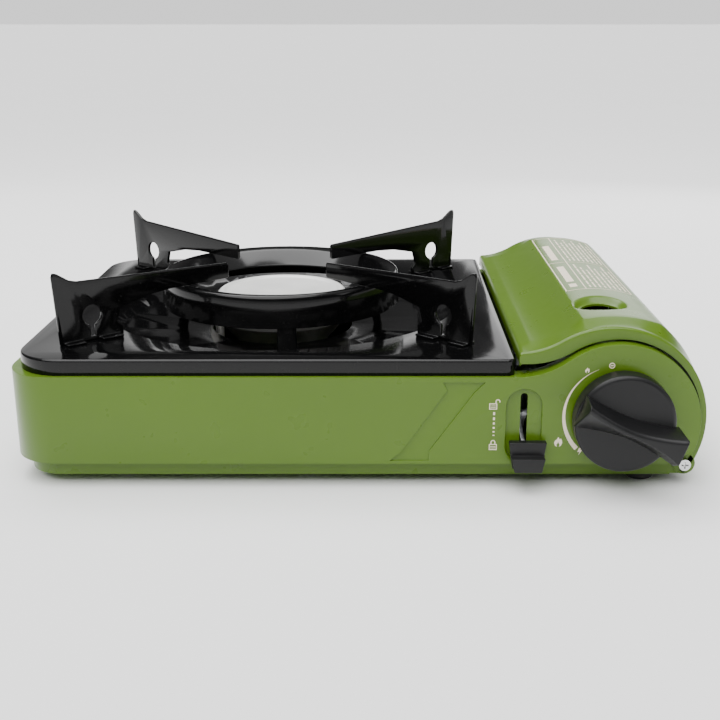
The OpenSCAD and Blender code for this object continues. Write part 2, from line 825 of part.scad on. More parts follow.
module drip_tray() {
    color("black") {
        difference() {
            translate([0, 0, deck_h]) linear_extrude(tray_skirt) tray_outline(0);
            translate([0, 0, deck_h - 1]) linear_extrude(tray_skirt + 1 - tray_t) tray_outline(tray_t);
            translate([burner_x, burner_y, deck_h]) cylinder(h = tray_skirt + 1, r = bowl_r - 1, $fn = 96);
        }
        difference() {
            translate([burner_x, burner_y, 0]) bowl(bowl_r);
            translate([electrode_x, electrode_y, bowl_z - 5]) cylinder(h = 10, r = electrode_notch_r);
        }
    }
}

module wind_ring() {
    color("black") translate([burner_x, burner_y, tray_z + ring_top - ring_h])
        rotate_extrude($fn = 96) polygon([
            [ring_r - ring_t, 0], [ring_r, 0], [ring_r, ring_h - 2], [ring_r - 1.5, ring_h],
            [ring_r - 6, ring_h], [ring_r - 20, ring_h - 8], [ring_r - 20, ring_h - 8 - ring_t],
            [ring_r - 6, ring_h - ring_t], [ring_r - 2.6, ring_h - ring_t],
            [ring_r - ring_t, ring_h - ring_t - 1.6]
        ]);
}

// Curved strips inside the ring's band, standing on the bowl
module ring_legs() {
    low = bowl_z + 2.7;
    high = tray_z + ring_top - 4;
    color("black") translate([burner_x, burner_y, low]) intersection() {
        difference() {
            cylinder(h = high - low, r = ring_r - ring_t, $fn = 96);
            translate([0, 0, -1]) cylinder(h = high - low + 2, r = ring_r - 2 * ring_t, $fn = 96);
        }
        for (a = ring_leg_angles) rotate(a)
            translate([ring_r - 10, -ring_leg_w / 2, 0]) cube([20, ring_leg_w, high - low]);
    }
}

// One pot support, drawn from the burner's axis outwards and standing on the tray
module support_outline() {
    foot_in_r = support_r - support_foot;
    bar_low = ring_top + 0.1;
    difference() {
        polygon([
            [support_r, 0], [support_r + 2, support_h - 2], [support_r + 1.2, support_h],
            [support_r - 1, support_h - 0.6], [support_r - 7, support_h - 4.6],
            [support_r - 11, support_h - 5.8], [support_inner_r + 0.6, bar_low + 8.6],
            [support_inner_r, bar_low + 7.6], [support_inner_r, bar_low + 1],
            [support_inner_r + 0.8, bar_low], [ring_r + 6, bar_low], [ring_r + 20, bar_low - 1.2],
            [foot_in_r + 1, bar_low - 5], [foot_in_r + 3, bar_low - 12], [foot_in_r, 4], [foot_in_r, 0]
        ]);
        translate([support_r - 18, 13]) circle(r = 5.2);
        translate([support_r - 19.3, 2]) square([2.6, 8]);
    }
}

module support(x_side, y_side) {
    turn = x_side > 0 ? y_side * support_angle : 180 - y_side * support_angle;
    color("black") translate([burner_x, burner_y, tray_z]) rotate([0, 0, turn]) {
        translate([0, support_t / 2, 0]) rotate([90, 0, 0]) linear_extrude(support_t) support_outline();
        translate([support_r - support_foot + 2, -5, 0]) cube([12, 10, 1.2]);
        translate([support_r - 12, -5, 0]) cube([10, 10, 1.2]);
    }
}

// ---------- lid ----------

module lid() {
    color("yellowgreen") difference() {
        union() {
            // rim bands at both ends, and the raised crown between them
            along_y(lid_front, lid_back) difference() {
                lid_outline();
                lid_inside();
            }
            along_y(lid_front + crown_inset, lid_back - crown_inset) difference() {
                crown(0);
                crown(lid_t);
                lid_inside();
            }
            for (y = [lid_front + crown_inset, lid_back - crown_inset - lid_t])
                along_y(y, y + lid_t) difference() {
                    crown(0);
                    lid_inside();
                }
            // end flanges with their hinge ears
            for (y = [lid_front, lid_back - lid_t]) {
                along_y(y, y + lid_t) difference() {
                    lid_outline();
                    lid_mouth();
                }
                rod_y(hinge_x, hinge_z, y, y + lid_t, ear_r);
            }
            // lip along the free left edge
            translate([lid_left, lid_front, lid_edge_h - rim_drop])
                cube([lid_t, lid_back - lid_front, rim_drop]);
            // wall of the thumb recess
            translate([thumb_x, thumb_y, thumb_z - 5]) cylinder(h = 6, r = thumb_r + thumb_rim);
        }
        // open the rim's sheet under the crown
        along_y(lid_front + crown_inset + lid_t, lid_back - crown_inset - lid_t) difference() {
            crown(lid_t);
            translate([0, -2 * lid_r]) square([2 * right_x, 2 * lid_r + hinge_z + 20]);
        }
        // notches in the rim's sheet that clear the pan's ears
        for (y = [lid_front + lid_t, lid_back - lid_t - ear_notch])
            rod_y(hinge_x, hinge_z, y, y + ear_notch, ear_r + gap);
        translate([thumb_x, thumb_y, thumb_z]) cylinder(h = 30, r = thumb_r + thumb_rim - lid_t);
        translate([thumb_x, thumb_y, thumb_z - 10]) cylinder(h = 30, r = thumb_r);
        for (y = [lid_front - 1, lid_back - 4]) rod_y(hinge_x, hinge_z, y, y + 5, hinge_hole_r);
    }
}

// Leaf spring riveted under the lid, which keeps the cartridge from rattling
module lid_spring() {
    top = crown_z + crown_r - lid_t - 0.25;
    color("silver") translate([crown_x, burner_y, top]) {
        translate([-leaf_w / 2, 0, -leaf_t]) cube([leaf_w, 14, leaf_t]);
        translate([-leaf_w / 2, 0.2, -leaf_t]) rotate([10, 0, 0])
            translate([0, -leaf_l, 0]) cube([leaf_w, leaf_l, leaf_t]);
        translate([0, 8, -leaf_t - 1]) cylinder(h = 1.1, r = 2);
    }
}

// ---------- controls ----------

module control_knob() {
    y0 = front_y - knob_gap;
    grip_l = knob_d + 4;
    color("dimgray") difference() {
        union() {
            rod_y(knob_x, knob_z, y0 - knob_base_h, y0, knob_d / 2);
            translate([knob_x, y0 - knob_base_h, knob_z]) rotate([90, 0, 0]) rotate(knob_turn)
                linear_extrude(knob_out - knob_gap - knob_base_h) intersection() {
                    translate([-knob_d / 2 + 2, -knob_grip_w / 2]) square([grip_l, knob_grip_w]);
                    circle(r = knob_d / 2 + 3.5);
                }
        }
        rod_y(knob_x, knob_z, y0 - 4, y0 + 1, knob_d / 2 - 2);
        rod_y(knob_x, knob_z, y0 - knob_base_h - 6, y0, stem_r);
    }
    color("dimgray") difference() {
        rod_y(knob_x, knob_z, y0 - 4 - eps, y0 - 0.5, stem_r + 3);
        rod_y(knob_x, knob_z, y0 - 5, y0 + 1, stem_r);
    }
}

module valve_stem() {
    color("gold") rod_y(knob_x, knob_z, front_y - knob_gap - knob_base_h - 6, regulator_front - 3.2, stem_r);
}

// Collar on the stem with a lobe that trips the igniter as the knob reaches its far stop
module igniter_cam() {
    color("white") difference() {
        union() {
            rod_y(knob_x, knob_z, cam_front, cam_back, cam_r);
            along_y(cam_front, cam_back) translate([knob_x, knob_z]) intersection() {
                circle(r = cam_lobe_r);
                translate([-1.5, 0]) square([3, cam_lobe_r + 1]);
            }
        }
        rod_y(knob_x, knob_z, cam_front - 1, cam_back + 1, stem_r);
    }
}

// Lever parts are drawn level and then laid down to the locked position
module at_lever_rest() {
    translate([lever_x, lever_pivot_y, lever_pivot_z]) rotate([lever_rest, 0, 0]) children();
}

module lever_arm() {
    color("silver") difference() {
        union() {
            at_lever_rest() {
                translate([-lever_t / 2, -lever_reach - 6, -3.5]) cube([lever_t, lever_reach + 6, 7]);
                translate([-lever_t / 2, 0, 0]) rotate([0, 90, 0]) cylinder(h = lever_t, r = 5.5);
            }
            translate([lever_x, lever_pivot_y, lever_pivot_z]) rotate([lever_swing / 2, 0, 0]) {
                translate([-lever_t / 2, -3, 0]) cube([lever_t, 6, horn_r + 2]);
                translate([0, 0, horn_r]) rotate([0, 90, 0])
                    cylinder(h = bar_x + bar_t + 0.4 - lever_x, r = horn_pin_r);
            }
        }
        rod_x(lever_pivot_y, lever_pivot_z, lever_x - 5, lever_x + 5, pivot_pin_r + pivot_clear);
    }
}

// Finger cap, wider at the top
module lever_cap() {
    w = lever_cap_w / 2;
    h = lever_cap_h;
    y0 = front_y - 1.2;
    color("black") difference() {
        translate([lever_x + lever_cap_shift, y0, lever_cap_z - h / 2]) rotate([90, 0, 0]) {
            linear_extrude(4) polygon([[-w + 2, 0], [w - 2, 0], [w, h], [-w, h]]);
            linear_extrude(lever_cap_out) polygon([
                [-w + 2.5, 0], [w - 2.5, 0], [w - 1, h - 6.5], [-w + 1, h - 6.5]
            ]);
        }
        at_lever_rest() translate([-lever_t / 2, -lever_reach - 6, -3.5])
            cube([lever_t, lever_reach + 6, 7]);
    }
}

module pusher_bar() {
    y0 = lever_pivot_y - horn_r * sin(lever_swing / 2) - 7;
    slot_y = lever_pivot_y - horn_r * sin(lever_swing / 2);
    color("silver") difference() {
        translate([bar_x, y0, bar_z - bar_h / 2]) cube([bar_t, pusher_back - y0, bar_h]);
        translate([bar_x - 1, slot_y - horn_pin_r - horn_play, bar_z - 2.3])
            cube([bar_t + 2, 2 * (horn_pin_r + horn_play), 4.6]);
    }
}

module pusher_plate() {
    color("silver") {
        translate([bar_x + bar_t, pusher_back - pusher_t, bar_z - bar_h / 2])
            cube([cartridge_x - bar_x - bar_t, pusher_t, bar_h]);
        rod_y(cartridge_x, cartridge_z, pusher_back - pusher_t, pusher_back, pusher_disc_r);
    }
}

// ---------- assembly ----------

body_shell();
base_pan();
foot(0);  // foot_front_left
foot(1);  // foot_front_right
foot(2);  // foot_rear_left
foot(3);  // foot_rear_right
base_screws();
bay_partition();
cartridge_rails();
regulator_body();
regulator_cover();
regulator_screws();
inlet_seal();
valve_body();
jet_holder();
jet_nozzle();
mixing_tube();
air_shutter();
burner_bracket();
burner_base();
burner_port_ring();
burner_cap();
burner_screws();
igniter_module();
ignition_wire();
electrode_insulator();
electrode_rod();
hinge_screw_front();
hinge_screw_rear();
lever_pivot_pin();
drip_tray();
wind_ring();
ring_legs();
support(-1, -1);  // support_front_left
support(1, -1);  // support_front_right
support(-1, 1);  // support_rear_left
support(1, 1);  // support_rear_right
lid();
lid_spring();
control_knob();
valve_stem();
igniter_cam();
lever_cap();
lever_arm();
pusher_bar();
pusher_plate();
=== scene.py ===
# %% [markdown]
# A single-burner camping stove, finished in Blender over its engineering model.
# The first three lines load that model as a fixed frame: one empty for each moving body, and one
# mesh for each CAD node. Everything is in metres, and each piece made here rides on a body.

# %% Load the frame
import json
import math
import bpy
import bmesh
from mathutils import Vector, Matrix

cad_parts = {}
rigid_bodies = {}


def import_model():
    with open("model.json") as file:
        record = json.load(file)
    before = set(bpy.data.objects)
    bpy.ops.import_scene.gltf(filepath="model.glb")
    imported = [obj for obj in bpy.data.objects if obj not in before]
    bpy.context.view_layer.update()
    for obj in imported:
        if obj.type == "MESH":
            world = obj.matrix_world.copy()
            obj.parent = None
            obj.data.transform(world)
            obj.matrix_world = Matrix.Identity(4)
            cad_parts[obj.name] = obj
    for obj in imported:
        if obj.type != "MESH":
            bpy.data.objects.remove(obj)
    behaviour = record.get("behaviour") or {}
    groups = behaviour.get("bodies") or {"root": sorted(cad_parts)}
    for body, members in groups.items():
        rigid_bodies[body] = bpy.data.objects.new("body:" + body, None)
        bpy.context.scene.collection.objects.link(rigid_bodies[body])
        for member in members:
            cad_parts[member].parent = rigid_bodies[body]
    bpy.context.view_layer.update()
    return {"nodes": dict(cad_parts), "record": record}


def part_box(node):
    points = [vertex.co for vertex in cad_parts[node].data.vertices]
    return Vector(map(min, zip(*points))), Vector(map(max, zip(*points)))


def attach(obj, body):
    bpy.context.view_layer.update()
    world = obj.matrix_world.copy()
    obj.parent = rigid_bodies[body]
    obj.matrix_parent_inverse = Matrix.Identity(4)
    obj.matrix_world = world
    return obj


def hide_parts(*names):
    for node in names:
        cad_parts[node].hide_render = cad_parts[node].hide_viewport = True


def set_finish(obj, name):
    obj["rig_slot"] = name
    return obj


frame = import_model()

MM = 0.001

# %% [markdown]
# The stove is seen from its front, a little above. A long lens keeps its verticals nearly upright.
# The small shift only moves the frame and doesn't change the perspective.

# %% Camera
bpy.ops.object.camera_add(location=(0.012, -0.6015, 0.2199), rotation=(math.radians(73.2), 0, 0))
camera = bpy.context.object
camera.name = "studio_camera"
camera.data.sensor_width = 36
camera.data.lens = 54.98
camera.data.shift_x = -0.0297
camera.data.shift_y = -0.0122
camera.data.clip_start = 0.01
bpy.context.scene.camera = camera
print("camera at", tuple(camera.location))

# %% [markdown]
# Operators work on whatever is selected, so two small helpers choose one object, or the faces and
# edges of it that pass a test on their place. That is how a modeller would pick them by hand.

# %% Helpers for selecting
def take(piece):
    """Makes one object the only one selected, and the active one."""
    bpy.ops.object.select_all(action="DESELECT")
    piece.select_set(True)
    bpy.context.view_layer.objects.active = piece


def pick(piece, kind, test):
    """In edit mode, selects the verts, edges or faces that pass the test."""
    bpy.ops.mesh.select_mode(type={"verts": "VERT", "edges": "EDGE", "faces": "FACE"}[kind])
    bpy.ops.mesh.select_all(action="DESELECT")
    work = bmesh.from_edit_mesh(piece.data)
    count = 0
    for element in getattr(work, kind):
        if test(element):
            element.select_set(True)
            count += 1
    bmesh.update_edit_mesh(piece.data)
    return count


def apply_modifier(piece, kind, **settings):
    """Adds a modifier, sets it and applies it."""
    take(piece)
    modifier = piece.modifiers.new(kind.lower(), kind)
    for name, value in settings.items():
        setattr(modifier, name, value)
    bpy.ops.object.modifier_apply(modifier=modifier.name)


def settle(piece, name, angle=32):
    """Applies the place, names the piece and smooths it up to an angle."""
    take(piece)
    bpy.ops.object.transform_apply(location=True, rotation=True, scale=True)
    bpy.ops.object.shade_smooth_by_angle(angle=math.radians(angle))
    piece.name = name
    piece.data.name = name
    return piece


# %% [markdown]
# Pressed and folded steel never has knife edges. Where a CAD node's shape is right, a copy of its
# mesh is merged and its flat areas dissolved, then the edges are rounded with a bevel. The bevel
# catches the light along each fold, which is what makes thin sheet look like metal.

# %% Helper that rounds a copy of a CAD node
def merged_copy(node, name):
    mesh = frame["nodes"][node].data.copy()
    piece = bpy.data.objects.new(name, mesh)
    bpy.context.scene.collection.objects.link(piece)
    mesh.materials.clear()
    take(piece)
    bpy.ops.object.mode_set(mode="EDIT")
    bpy.ops.mesh.select_all(action="SELECT")
    bpy.ops.mesh.remove_doubles(threshold=0.000004)
    bpy.ops.mesh.dissolve_limited(angle_limit=math.radians(1.0))
    bpy.ops.object.mode_set(mode="OBJECT")
    return piece


def rounded(node, name, body, slot, width, segments=2, angle=40, smooth=32):
    piece = merged_copy(node, name)
    apply_modifier(piece, "BEVEL", width=width * MM, segments=segments, limit_method="ANGLE",
                   angle_limit=math.radians(angle), use_clamp_overlap=True)
    settle(piece, name, smooth)
    place(piece, body, slot, node)
    return piece


def place(piece, body, slot, *nodes):
    """Rides a finished piece on its body, in its material slot, in place of CAD nodes."""
    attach(piece, body)
    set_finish(piece, slot)
    if nodes:
        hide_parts(*nodes)


# %% [markdown]
# Round pieces such as the ring and the burner's cap are turned: half of the outline is drawn as a
# closed loop of points and spun about the burner's axis. A circle primitive supplies the loop.

# %% Helper that turns an outline
def turned(name, outline, axis_x, axis_y, steps=128):
    """outline is a closed loop of (radius, height) in millimetres."""
    bpy.ops.object.select_all(action="DESELECT")
    bpy.ops.mesh.primitive_circle_add(vertices=len(outline), radius=0.01, location=(0, 0, 0))
    piece = bpy.context.object
    for vert, (r, z) in zip(piece.data.vertices, outline):
        vert.co = (axis_x + r * MM, axis_y, z * MM)
    bpy.ops.object.mode_set(mode="EDIT")
    bpy.ops.mesh.select_all(action="SELECT")
    bpy.ops.mesh.spin(steps=steps, angle=2 * math.pi, center=(axis_x, axis_y, 0), axis=(0, 0, 1))
    bpy.ops.mesh.select_all(action="SELECT")
    bpy.ops.mesh.remove_doubles(threshold=0.00001)
    bpy.ops.mesh.normals_make_consistent(inside=False)
    bpy.ops.object.mode_set(mode="OBJECT")
    return settle(piece, name, 40)


def rounded_loop(points, steps=4):
    """Rounds the corners of a closed outline; each point is (r, z, corner radius)."""
    out = []
    count = len(points)
    for i, (x, z, radius) in enumerate(points):
        here = Vector((x, z))
        before = (Vector(points[i - 1][:2]) - here)
        after = (Vector(points[(i + 1) % count][:2]) - here)
        reach = min(radius, before.length * 0.49, after.length * 0.49)
        if reach < 0.02:
            out.append((x, z))
            continue
        a, b = here + before.normalized() * reach, here + after.normalized() * reach
        for k in range(steps + 1):
            t = k / steps
            p = a * (1 - t) ** 2 + here * 2 * t * (1 - t) + b * t * t
            out.append((p.x, p.y))
    return out


# %% [markdown]
# The drip tray, the ring and the burner share one axis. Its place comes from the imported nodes.

# %% Measure the frame
ring_low, ring_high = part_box("wind_ring")
burner_x = (ring_low.x + ring_high.x) / 2
burner_y = (ring_low.y + ring_high.y) / 2
ring_r = (ring_high.x - ring_low.x) / 2 / MM
tray_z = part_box("drip_tray")[1].z / MM
shell_low, shell_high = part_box("body_shell")
front = shell_low.y / MM
rear = shell_high.y / MM
deck = 57.0
lid_low, lid_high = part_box("lid")
lid_front, lid_back = lid_low.y / MM, lid_high.y / MM
lid_left, right = lid_low.x / MM, lid_high.x / MM
print("burner axis", round(burner_x, 4), round(burner_y, 4))
print("ring", round(ring_r, 1), "tray", tray_z)
print("lid", lid_left, right, lid_front, lid_back)

# %% [markdown]
# The body is pressed from steel sheet. Its upper edge rolls over in a fold of about 3 mm that runs
# level along the tray and then up and over the cartridge bay. Only that outer edge is given the
# large rounding. The slot, the recess and the base keep small ones.

# %% Body shell
knob_x, knob_z = 127.0, 37.4


def on_outer_fold(edge):
    if len(edge.link_faces) != 2:
        return False
    a, b = (v.co / MM for v in edge.verts)
    mid = (a + b) / 2
    normals = [f.normal for f in edge.link_faces]
    if edge.is_convex is False or normals[0].dot(normals[1]) > 0.75:
        return False
    if mid.z < 14.0 or (mid.x < 92 and mid.x > 69 and mid.z < 52.5):
        return False
    ends = abs(mid.y - front) < 0.02 or abs(mid.y - rear) < 0.02
    wall = any(abs(n.y) > 0.9 for n in normals)
    if mid.x > 76:
        far_from_stem = math.hypot(mid.x - knob_x, mid.z - knob_z) > 20
        return ends and wall and far_from_stem
    level = abs(a.z - deck) < 0.02 and abs(b.z - deck) < 0.02
    outer = (ends and wall) or mid.x < -145.9
    inner_edge = mid.x > -158.5 and front + 11.5 < mid.y < rear - 11.5
    return level and outer and not inner_edge


shell = merged_copy("body_shell", "body_shell_pressed")
bpy.ops.object.mode_set(mode="EDIT")
folds = pick(shell, "edges", on_outer_fold)
bpy.ops.mesh.bevel(offset=3.0 * MM, segments=5, profile=0.5, clamp_overlap=True, affect="EDGES")


def on_front_pressing(edge, low_x, high_x, high_z):
    """Edges of a sunken shape in the front wall, where the sheet turns inwards."""
    if len(edge.link_faces) != 2 or any(abs(v.co.y / MM - front) > 0.02 for v in edge.verts):
        return False
    normals = [f.normal for f in edge.link_faces]
    mid = (edge.verts[0].co + edge.verts[1].co) / 2 / MM
    return normals[0].dot(normals[1]) < 0.75 and low_x < mid.x < high_x and 13.4 < mid.z < high_z


pick(shell, "edges", lambda e: on_front_pressing(e, 12, 66, 55.5))
bpy.ops.mesh.bevel(offset=0.85 * MM, segments=3, profile=0.5, clamp_overlap=True, affect="EDGES")
pick(shell, "edges", lambda e: on_front_pressing(e, 71, 90, 51.5))
bpy.ops.mesh.bevel(offset=1.3 * MM, segments=4, profile=0.5, clamp_overlap=True, affect="EDGES")
bpy.ops.object.mode_set(mode="OBJECT")
apply_modifier(shell, "BEVEL", width=0.35 * MM, segments=2, limit_method="ANGLE",
               angle_limit=math.radians(50), use_clamp_overlap=True)
settle(shell, "body_shell_pressed", 30)
place(shell, "stove_body", "green_paint", "body_shell")
print("outer folds rounded on", folds, "edges")

# %% [markdown]
# The lid is one pressed sheet whose section changes along its length. At each end it is a plain
# rim: a hollow curve that turns into a round. In the middle a crown stands higher, with a crease
# along its left side. A grid is laid over it, one direction around the section and the other
# along the lid, and every point is put on the blend of the two sections. That gives clean quads
# that a flat primitive with cuts couldn't.

# %% Lid sections
rim_x, rim_z, rim_r = right - 47.5, 33.0, 47.5
lid_edge = 67.8
lip_low = 62.2
crease_x = rim_x - 13.5
crown_x, crown_z, crown_r = rim_x + 2, 15.4, 67.0
shoulder_x, shoulder_r = right - 57.0, 57.0
mouth_x, mouth_r = rim_x + 3, 41.5
cove_r = 40.0


def hump_top(x, cx, cz, r, base, cove):
    """Height of a round hump that runs out to the left in a hollow curve."""
    cove_x = cx - math.sqrt((r + cove) ** 2 - (base + cove - cz) ** 2)
    meet_x = cx - (cx - cove_x) * r / (r + cove)
    if x < cove_x:
        return base
    if x < meet_x:
        return base + cove - math.sqrt(cove * cove - (x - cove_x) ** 2)
    return cz + math.sqrt(max(0.0, r * r - (x - cx) ** 2))


def crown_arc(x):
    return crown_z + math.sqrt(crown_r ** 2 - (x - crown_x) ** 2)


def crown_top(x):
    if x >= crease_x:
        return crown_arc(x)
    s = max(0.0, (x - lid_left) / (crease_x - lid_left))
    swell = 1.4 * min(1.0, s * 5) * (1 - s)
    return lid_edge + swell + (crown_arc(crease_x) - lid_edge) * (0.14 * s + 0.86 * s ** 2.3)


def inside_rim(x, z):
    if x < rim_x:
        return z < hump_top(x, rim_x, rim_z, rim_r, lid_edge, cove_r)
    return math.hypot(x - rim_x, z - rim_z) < rim_r


def inside_mouth(x, z):
    if x < mouth_x:
        return z < hump_top(x, mouth_x, rim_z, mouth_r, lip_low, cove_r)
    return math.hypot(x - mouth_x, z - rim_z) < mouth_r


def inside_crown(x, z):
    if z < rim_z:
        return inside_rim(x, z)
    if x < crease_x:
        return z < crown_top(x)
    return z < crown_arc(x) and math.hypot(x - shoulder_x, z - rim_z) < shoulder_r


def reach(inside, angle):
    """Distance from the rim's centre to the outline in one direction."""
    c, s = math.cos(angle), math.sin(angle)
    near, far = 5.0, 90.0
    for _ in range(40):
        mid = (near + far) / 2
        if inside(rim_x + mid * c, rim_z + mid * s):
            near = mid
        else:
            far = mid
    return near


LEFT_STEPS, ROUND_STEPS = 26, 150
cove_reach = math.sqrt((rim_r + cove_r) ** 2 - (lid_edge + cove_r - rim_z) ** 2)
meet_x = rim_x - cove_reach * rim_r / (rim_r + cove_r)
meet_z = hump_top(meet_x, rim_x, rim_z, rim_r, lid_edge, cove_r)
turn_from = math.atan2(meet_z - rim_z, meet_x - rim_x)
turn_to = -math.asin((rim_z - 5.5) / rim_r)


def section(kind):
    """Points (x, z) of one section, from the lip on the left to the free edge on the right."""
    top, inside = {
        "rim": (lambda x: hump_top(x, rim_x, rim_z, rim_r, lid_edge, cove_r), inside_rim),
        "mouth": (lambda x: hump_top(x, mouth_x, rim_z, mouth_r, lip_low, cove_r), inside_mouth),
        "crown": (crown_top, inside_crown),
    }[kind]
    low = lip_low - 0.4 if kind == "mouth" else lip_low
    points = [(lid_left, low)]
    high = top(lid_left)
    points += [(lid_left, low + (high - 1.6 - low) * 0.6), (lid_left, high - 1.5)]
    points += [(lid_left + 0.45, high - 0.45)]
    for i in range(1, LEFT_STEPS + 1):
        x = lid_left + 0.6 + (meet_x - lid_left - 0.6) * i / LEFT_STEPS
        points.append((x, top(x)))
    for i in range(1, ROUND_STEPS + 1):
        angle = turn_from + (turn_to - turn_from) * i / ROUND_STEPS
        r = reach(inside, angle)
        points.append((rim_x + r * math.cos(angle), rim_z + r * math.sin(angle)))
    return points


rim, mouth, crown = section("rim"), section("mouth"), section("crown")
columns = len(rim)
print("lid section of", columns, "points")

# %% [markdown]
# Rows along the lid start at the end flange, turn the corner with a small radius, climb the sloped
# end of the crown and run level to the other end. The thumb hole sits in a round dish, so points
# near it are let down before the hole is cut through.

# %% Lid rows and the thumb dish
thumb_x, thumb_y, thumb_r, dish_r, dish_depth = rim_x + 0.5, lid_front + 40, 10.0, 14.6, 3.4
corner_r, slope_from, slope_length = 1.5, 2.4, 10.8
end_rows = [(0.0, "mouth", 0.0), (0.0, "flange", 0.5), (0.0, "flange", 0.86)]
for k in range(0, 6):
    a = math.pi / 2 * k / 5
    end_rows.append((corner_r * (1 - math.cos(a)), "corner", math.sin(a)))
for k in range(1, 19):
    end_rows.append((slope_from + slope_length * k / 18, "slope", k / 18))


def row_points(kind, t):
    points = []
    for (mx, mz), (rx, rz), (cx, cz) in zip(mouth, rim, crown):
        if kind == "mouth":
            points.append((mx, mz))
        elif kind == "flange":
            points.append((mx + (rx - mx) * t * 0.9, mz + (rz - mz) * t * 0.9))
        elif kind == "corner":
            keep = 0.774 + 0.226 * t
            points.append((mx + (rx - mx) * keep, mz + (rz - mz) * keep))
        else:
            ease = 0.92 * t + 0.08 * t * t * (3 - 2 * t)
            points.append((rx + (cx - rx) * ease, rz + (cz - rz) * ease))
    return points


rows = [(lid_front + y, kind, t) for y, kind, t in end_rows]
y = lid_front + 13.2
while y < lid_back - 14.0:
    y += 1.0 if thumb_y - 17 < y < thumb_y + 17 else 4.0
    rows.append((min(y, lid_back - 13.6), "slope", 1.0))
rows += [(lid_back - y, kind, t) for y, kind, t in reversed(end_rows)]


def let_down(x, z, y):
    """Depth of the thumb dish at a point of the crown."""
    if z < 60:
        return 0.0
    away = math.hypot(x - thumb_x, y - thumb_y)
    if away >= dish_r:
        return 0.0
    t = min(1.0, (dish_r - away) / (dish_r - thumb_r - 0.3))
    return dish_depth * (1 - math.cos(t * math.pi / 2) ** 1.6)


# %% [markdown]
# The grid primitive has the same number of points as the section has rows and columns. Each of its
# points moves to its place, the sheet is given its 1 mm wall inwards, and a cylinder is cut through
# the dish for the thumb.

# %% Lid
bpy.ops.object.select_all(action="DESELECT")
bpy.ops.mesh.primitive_grid_add(x_subdivisions=columns - 1, y_subdivisions=len(rows) - 1, size=1)
lid = bpy.context.object
for j, (y, kind, t) in enumerate(rows):
    for i, (x, z) in enumerate(row_points(kind, t)):
        lid.data.vertices[j * columns + i].co = (x * MM, y * MM, (z - let_down(x, z, y)) * MM)
bpy.ops.object.mode_set(mode="EDIT")
bpy.ops.mesh.select_all(action="SELECT")
bpy.ops.mesh.remove_doubles(threshold=0.00002)
bpy.ops.mesh.normals_make_consistent(inside=False)
bpy.ops.object.mode_set(mode="OBJECT")
middle = min(lid.data.polygons, key=lambda f: (f.center - Vector((0.12, 0.03, 0.082))).length)
if middle.normal.z < 0:
    bpy.ops.object.mode_set(mode="EDIT")
    bpy.ops.mesh.select_all(action="SELECT")
    bpy.ops.mesh.flip_normals()
    bpy.ops.object.mode_set(mode="OBJECT")
apply_modifier(lid, "SOLIDIFY", thickness=1.0 * MM, offset=-1.0, use_even_offset=False)
bpy.ops.object.select_all(action="DESELECT")
bpy.ops.mesh.primitive_cylinder_add(vertices=64, radius=thumb_r * MM, depth=0.03,
                                    location=(thumb_x * MM, thumb_y * MM, 0.08))
cutter = bpy.context.object
apply_modifier(lid, "BOOLEAN", operation="DIFFERENCE", object=cutter, solver="EXACT")
bpy.data.objects.remove(cutter)

# %% [markdown]
# Each end flange carries an ear that the hinge screw passes through. It is a short disc with its
# rim bevelled, joined to the lid.

# %% Hinge ears
hinge_x, hinge_z, ear_r = right - 9.5, 11.0, 5.5
for y in (lid_front + 0.5, lid_back - 0.5):
    bpy.ops.object.select_all(action="DESELECT")
    bpy.ops.mesh.primitive_cylinder_add(vertices=48, radius=ear_r * MM, depth=1.0 * MM,
                                        location=(hinge_x * MM, y * MM, hinge_z * MM),
                                        rotation=(math.pi / 2, 0, 0))
    ear = bpy.context.object
    bpy.ops.object.mode_set(mode="EDIT")
    pick(ear, "faces", lambda f: len(f.verts) > 10)
    bpy.ops.mesh.inset(thickness=1.9 * MM)
    bpy.ops.object.mode_set(mode="OBJECT")
    apply_modifier(ear, "BEVEL", width=0.25 * MM, segments=2, limit_method="ANGLE",
                   angle_limit=math.radians(50))
    take(ear)
    bpy.ops.object.transform_apply(location=True, rotation=True, scale=True)
    lid.select_set(True)
    bpy.context.view_layer.objects.active = lid
    bpy.ops.object.join()
settle(lid, "lid_pressed", 34)
place(lid, "cartridge_lid", "green_paint", "lid")
print("lid has", len(lid.data.polygons), "faces")

# %% [markdown]
# The drip tray is enamelled steel. Its top edge is folded over a radius of about 2 mm, and enamel
# fills every corner, so all its edges look soft. The bowl keeps the CAD's shape and is shaded
# smooth.

# %% Drip tray
tray = merged_copy("drip_tray", "drip_tray_enamelled")


def on_tray_edge(edge):
    if len(edge.link_faces) != 2:
        return False
    a, b = (v.co for v in edge.verts)
    level = abs(a.z / MM - tray_z) < 0.02 and abs(b.z / MM - tray_z) < 0.02
    mid = (a + b) / 2
    from_axis = math.hypot(mid.x - burner_x, mid.y - burner_y) / MM
    return level and from_axis > 106


bpy.ops.object.mode_set(mode="EDIT")
pick(tray, "edges", on_tray_edge)
bpy.ops.mesh.bevel(offset=1.9 * MM, segments=4, profile=0.5, clamp_overlap=True, affect="EDGES")
bpy.ops.object.mode_set(mode="OBJECT")
apply_modifier(tray, "BEVEL", width=0.3 * MM, segments=2, limit_method="ANGLE",
               angle_limit=math.radians(55))
settle(tray, "drip_tray_enamelled", 48)
place(tray, "top_plate", "black_enamel", "drip_tray")

# %% [markdown]
# The wind ring is a pressed hoop: an upright band, a rolled top edge, and a cone that leads the
# flames in under the pot. It is turned from one outline with every corner rounded.

